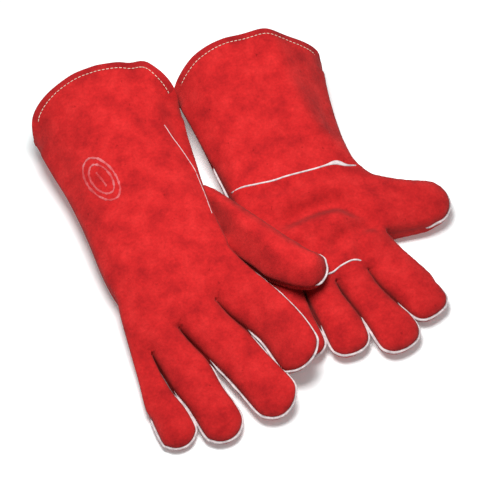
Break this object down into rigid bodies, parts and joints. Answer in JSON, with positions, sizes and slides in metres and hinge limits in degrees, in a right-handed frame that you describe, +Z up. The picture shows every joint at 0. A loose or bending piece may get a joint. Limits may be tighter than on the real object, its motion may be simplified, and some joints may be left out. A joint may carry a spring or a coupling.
{
  "type": "pair of welding gloves",
  "caption": "Pair of long red split-leather welding gauntlets lying side by side, one back up and one palm up, with lined cuffs, welted seams and fingers that fold.",
  "frame": {"origin": "middle of the pair's outline in plan, on the surface it lies on", "axes": "+Y from the fingertips to the cuffs, +Z up, +X from the right glove (back up) to the left glove (palm up)"},
  "size_m": [0.3422, 0.3572, 0.0803],
  "materials": {
    "red_leather": "napped split suede",
    "welt_leather": "undyed, matt",
    "lining": "cotton fleece"
  },
  "bodies": {
    "left_glove": {"left_back_panel": "red_leather", "left_cuff_palm_panel": "red_leather", "left_insert_welt": "welt_leather", "left_lining": "lining", "left_little_side_welt": "welt_leather", "left_palm_insert": "red_leather", "left_palm_panel": "red_leather", "left_thumb_crotch_welt": "welt_leather", "left_thumb_side_welt": "welt_leather", "left_wrist_welt": "welt_leather"},
    "right_glove": {"right_back_panel": "red_leather", "right_cuff_palm_panel": "red_leather", "right_insert_welt": "welt_leather", "right_lining": "lining", "right_little_side_welt": "welt_leather", "right_palm_insert": "red_leather", "right_palm_panel": "red_leather", "right_thumb_crotch_welt": "welt_leather", "right_thumb_side_welt": "welt_leather", "right_wrist_welt": "welt_leather"},
    "left_index": {"left_index_back": "red_leather", "left_index_palm": "red_leather", "left_index_welt": "welt_leather", "left_index_lining": "lining"},
    "left_middle": {"left_middle_back": "red_leather", "left_middle_palm": "red_leather", "left_middle_welt": "welt_leather", "left_middle_lining": "lining"},
    "left_ring": {"left_ring_back": "red_leather", "left_ring_palm": "red_leather", "left_ring_welt": "welt_leather", "left_ring_lining": "lining"},
    "left_little": {"left_little_back": "red_leather", "left_little_palm": "red_leather", "left_little_welt": "welt_leather", "left_little_lining": "lining"},
    "left_thumb": {"left_thumb_back": "red_leather", "left_thumb_palm": "red_leather", "left_thumb_welt": "welt_leather", "left_thumb_lining": "lining"},
    "right_index": {"right_index_back": "red_leather", "right_index_palm": "red_leather", "right_index_welt": "welt_leather", "right_index_lining": "lining"},
    "right_middle": {"right_middle_back": "red_leather", "right_middle_palm": "red_leather", "right_middle_welt": "welt_leather", "right_middle_lining": "lining"},
    "right_ring": {"right_ring_back": "red_leather", "right_ring_palm": "red_leather", "right_ring_welt": "welt_leather", "right_ring_lining": "lining"},
    "right_little": {"right_little_back": "red_leather", "right_little_palm": "red_leather", "right_little_welt": "welt_leather", "right_little_lining": "lining"},
    "right_thumb": {"right_thumb_back": "red_leather", "right_thumb_palm": "red_leather", "right_thumb_welt": "welt_leather", "right_thumb_lining": "lining"}
  },
  "joints": [
    {"name": "right_glove_lift", "type": "slide", "parent": "left_glove", "child": "right_glove", "axis": [0, 0, 1], "range_m": [0, 0.2]},
    {"name": "left_index_fold", "type": "hinge", "parent": "left_glove", "child": "left_index", "pos_m": [0.09786, -0.08768, 0.01471], "axis": [-0.959, -0.2833, 0], "range_deg": [0, 60], "stiffness_Nm_per_rad": 0.15},
    {"name": "left_middle_fold", "type": "hinge", "parent": "left_glove", "child": "left_middle", "pos_m": [0.06222, -0.10288, 0.01382], "axis": [-0.9817, -0.1903, 0], "range_deg": [0, 60], "stiffness_Nm_per_rad": 0.15},
    {"name": "left_ring_fold", "type": "hinge", "parent": "left_glove", "child": "left_ring", "pos_m": [0.02572, -0.0982, 0.01409], "axis": [-0.9973, -0.0728, 0], "range_deg": [0, 60], "stiffness_Nm_per_rad": 0.15},
    {"name": "left_little_fold", "type": "hinge", "parent": "left_glove", "child": "left_little", "pos_m": [-0.00488, -0.093, 0.0144], "axis": [-0.9998, -0.019, 0], "range_deg": [0, 5], "stiffness_Nm_per_rad": 0.15},
    {"name": "left_thumb_fold", "type": "hinge", "parent": "left_glove", "child": "left_thumb", "pos_m": [0.12584, -0.01692, 0.01905], "axis": [-0.2717, -0.9624, 0], "range_deg": [0, 50], "stiffness_Nm_per_rad": 0.15},
    {"name": "right_index_fold", "type": "hinge", "parent": "right_glove", "child": "right_index", "pos_m": [-0.03016, -0.09342, 0.0282], "axis": [0.9576, 0.2881, 0], "range_deg": [-25, 0], "stiffness_Nm_per_rad": 0.15},
    {"name": "right_middle_fold", "type": "hinge", "parent": "right_glove", "child": "right_middle", "pos_m": [-0.06616, -0.11042, 0.01504], "axis": [0.9601, 0.2797, 0], "range_deg": [-20, 60], "stiffness_Nm_per_rad": 0.15},
    {"name": "right_ring_fold", "type": "hinge", "parent": "right_glove", "child": "right_ring", "pos_m": [-0.10766, -0.11692, 0.01159], "axis": [0.9889, 0.1483, 0], "range_deg": [-20, 60], "stiffness_Nm_per_rad": 0.15},
    {"name": "right_little_fold", "type": "hinge", "parent": "right_glove", "child": "right_little", "pos_m": [-0.14016, -0.11342, 0.00961], "axis": [0.9968, 0.0794, 0], "range_deg": [-20, 60], "stiffness_Nm_per_rad": 0.15},
    {"name": "right_thumb_fold", "type": "hinge", "parent": "right_glove", "child": "right_thumb", "pos_m": [-0.00663, -0.03177, 0.04875], "axis": [0.7991, 0.6012, 0], "range_deg": [-25, 0], "stiffness_Nm_per_rad": 0.15}
  ]
}
